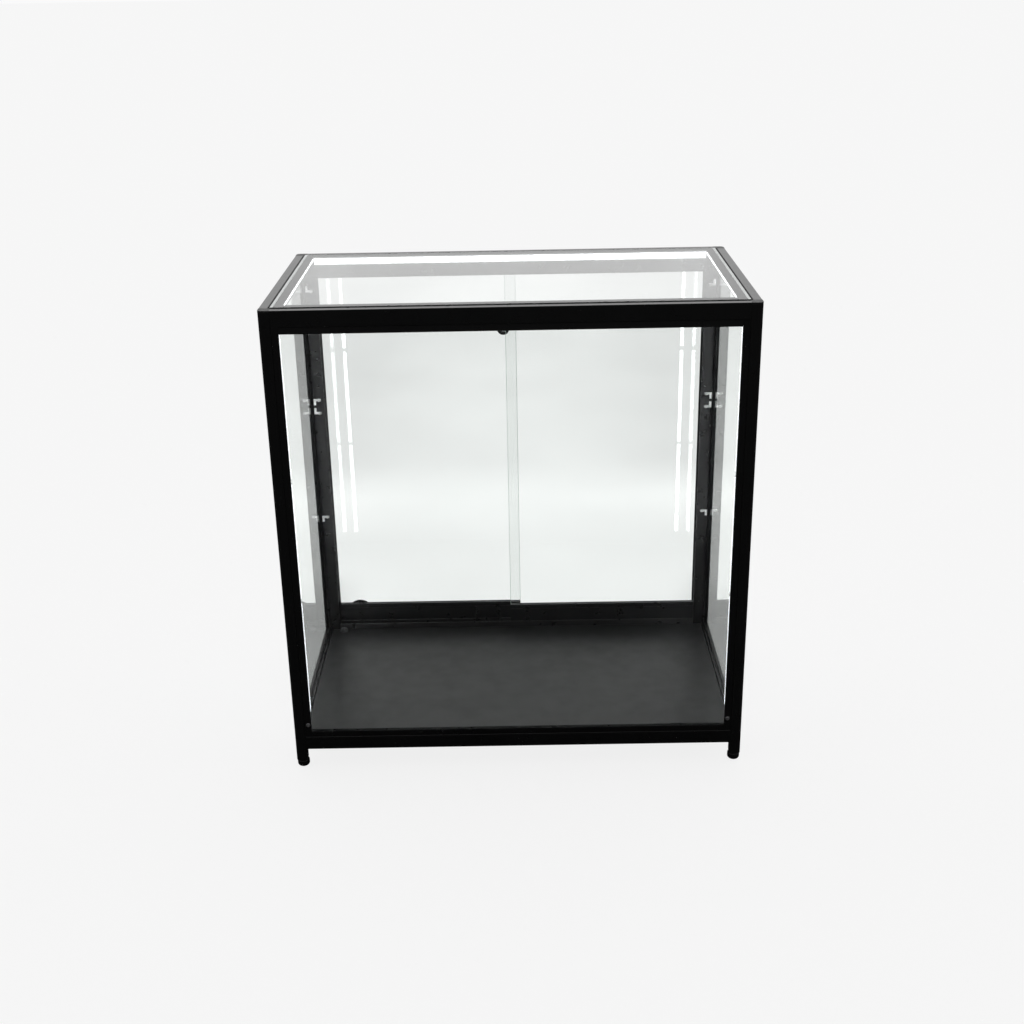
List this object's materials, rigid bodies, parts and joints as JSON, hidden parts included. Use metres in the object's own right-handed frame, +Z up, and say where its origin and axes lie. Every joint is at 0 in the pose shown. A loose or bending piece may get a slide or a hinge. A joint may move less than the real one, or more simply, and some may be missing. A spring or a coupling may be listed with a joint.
{
  "type": "glass display counter",
  "caption": "Free-standing glass display counter: black aluminium frame, glazed front, sides and top, sliding glass doors at the rear, deck, light bars and levelling feet.",
  "frame": {"origin": "on the floor, under the middle of the counter", "axes": "+Z up, -Y toward the customer's side (the glazed front), +X to the right as seen from the front"},
  "size_m": [0.904, 0.504, 0.9512],
  "materials": {
    "frame_black": "black coated extrusion, semi-gloss",
    "glass_clear": "clear float glass, faintly green",
    "deck_board": "board with a satin charcoal laminate",
    "rubber_black": "matt",
    "plastic_black": "moulded, slightly glossy",
    "wheel_nylon": "smooth nylon",
    "screw_steel": "plain steel",
    "bright_chrome": "polished",
    "light_metal": "satin",
    "light_lens": "frosted white, lit from behind",
    "driver_case": "plain case"
  },
  "bodies": {
    "frame": {"bottom_front_rail": "frame_black", "bottom_left_rail": "frame_black", "bottom_rear_rail": "frame_black", "bottom_right_rail": "frame_black", "cable_grommet": "plastic_black", "corner_key_screws": "screw_steel", "corner_keys": "plastic_black", "deck_panel": "deck_board", "door_bottom_track": "frame_black", "door_top_track": "frame_black", "front_glass": "glass_clear", "front_glass_channels": "frame_black", "front_left_post": "frame_black", "front_light_bodies": "light_metal", "front_light_lenses": "light_lens", "front_right_post": "frame_black", "glass_setting_blocks": "rubber_black", "left_door_jamb": "frame_black", "left_glass": "glass_clear", "left_glass_channels": "frame_black", "leg_plugs": "plastic_black", "light_clip_screws": "bright_chrome", "light_clips": "bright_chrome", "light_driver": "driver_case", "rear_left_post": "frame_black", "rear_light_body": "light_metal", "rear_light_lens": "light_lens", "rear_right_post": "frame_black", "right_door_jamb": "frame_black", "right_glass": "glass_clear", "right_glass_channels": "frame_black", "side_light_bodies": "light_metal", "side_light_lenses": "light_lens", "top_corner_caps": "plastic_black", "top_front_rail": "frame_black", "top_glass": "glass_clear", "top_glass_seal": "rubber_black", "top_left_rail": "frame_black", "top_rear_rail": "frame_black", "top_right_rail": "frame_black"},
    "left_door": {"left_door_glass": "glass_clear", "left_door_shoe": "frame_black", "lock_housing": "bright_chrome", "lock_nut": "frame_black", "finger_pull": "frame_black"},
    "right_door": {"right_door_glass": "glass_clear", "right_door_shoe": "frame_black"},
    "left_door_left_roller": {"left_door_left_wheel": "wheel_nylon"},
    "left_door_right_roller": {"left_door_right_wheel": "wheel_nylon"},
    "right_door_left_roller": {"right_door_left_wheel": "wheel_nylon"},
    "right_door_right_roller": {"right_door_right_wheel": "wheel_nylon"},
    "lock_plunger": {"lock_bolt": "bright_chrome"},
    "lock_key": {"lock_key_barrel": "bright_chrome"},
    "front_left_leveller": {"front_left_foot": "plastic_black"},
    "front_right_leveller": {"front_right_foot": "plastic_black"},
    "rear_left_leveller": {"rear_left_foot": "plastic_black"},
    "rear_right_leveller": {"rear_right_foot": "plastic_black"}
  },
  "joints": [
    {"name": "left_door_slide", "type": "slide", "parent": "frame", "child": "left_door", "axis": [1, 0, 0], "range_m": [0, 0.405]},
    {"name": "right_door_slide", "type": "slide", "parent": "frame", "child": "right_door", "axis": [-1, 0, 0], "range_m": [0, 0.405]},
    {"name": "left_door_left_roll", "type": "hinge", "parent": "left_door", "child": "left_door_left_roller", "pos_m": [-0.374, 0.237, 0.0893], "axis": [0, 1, 0], "range_deg": [-3400, 3400]},
    {"name": "left_door_right_roll", "type": "hinge", "parent": "left_door", "child": "left_door_right_roller", "pos_m": [-0.035, 0.237, 0.0893], "axis": [0, 1, 0], "range_deg": [-3400, 3400]},
    {"name": "right_door_left_roll", "type": "hinge", "parent": "right_door", "child": "right_door_left_roller", "pos_m": [0.032, 0.219, 0.0893], "axis": [0, 1, 0], "range_deg": [-3400, 3400]},
    {"name": "right_door_right_roll", "type": "hinge", "parent": "right_door", "child": "right_door_right_roller", "pos_m": [0.371, 0.219, 0.0893], "axis": [0, 1, 0], "range_deg": [-3400, 3400]},
    {"name": "lock_push", "type": "slide", "parent": "left_door", "child": "lock_plunger", "axis": [0, -1, 0], "range_m": [0, 0.008]},
    {"name": "lock_key_turn", "type": "hinge", "parent": "lock_plunger", "child": "lock_key", "pos_m": [-0.0177, 0.2495, 0.7845], "axis": [0, 1, 0], "range_deg": [0, 90]},
    {"name": "front_left_level", "type": "slide", "parent": "frame", "child": "front_left_leveller", "axis": [0, 0, -1], "range_m": [0, 0.015]},
    {"name": "front_right_level", "type": "slide", "parent": "frame", "child": "front_right_leveller", "axis": [0, 0, -1], "range_m": [0, 0.015]},
    {"name": "rear_left_level", "type": "slide", "parent": "frame", "child": "rear_left_leveller", "axis": [0, 0, -1], "range_m": [0, 0.015]},
    {"name": "rear_right_level", "type": "slide", "parent": "frame", "child": "rear_right_leveller", "axis": [0, 0, -1], "range_m": [0, 0.015]}
  ],
  "couplings": [
    {"joint": "left_door_left_roll", "follows": "left_door_slide", "rad_per_m": 142.86},
    {"joint": "left_door_right_roll", "follows": "left_door_slide", "rad_per_m": 142.86},
    {"joint": "right_door_left_roll", "follows": "right_door_slide", "rad_per_m": -142.86},
    {"joint": "right_door_right_roll", "follows": "right_door_slide", "rad_per_m": -142.86}
  ]
}
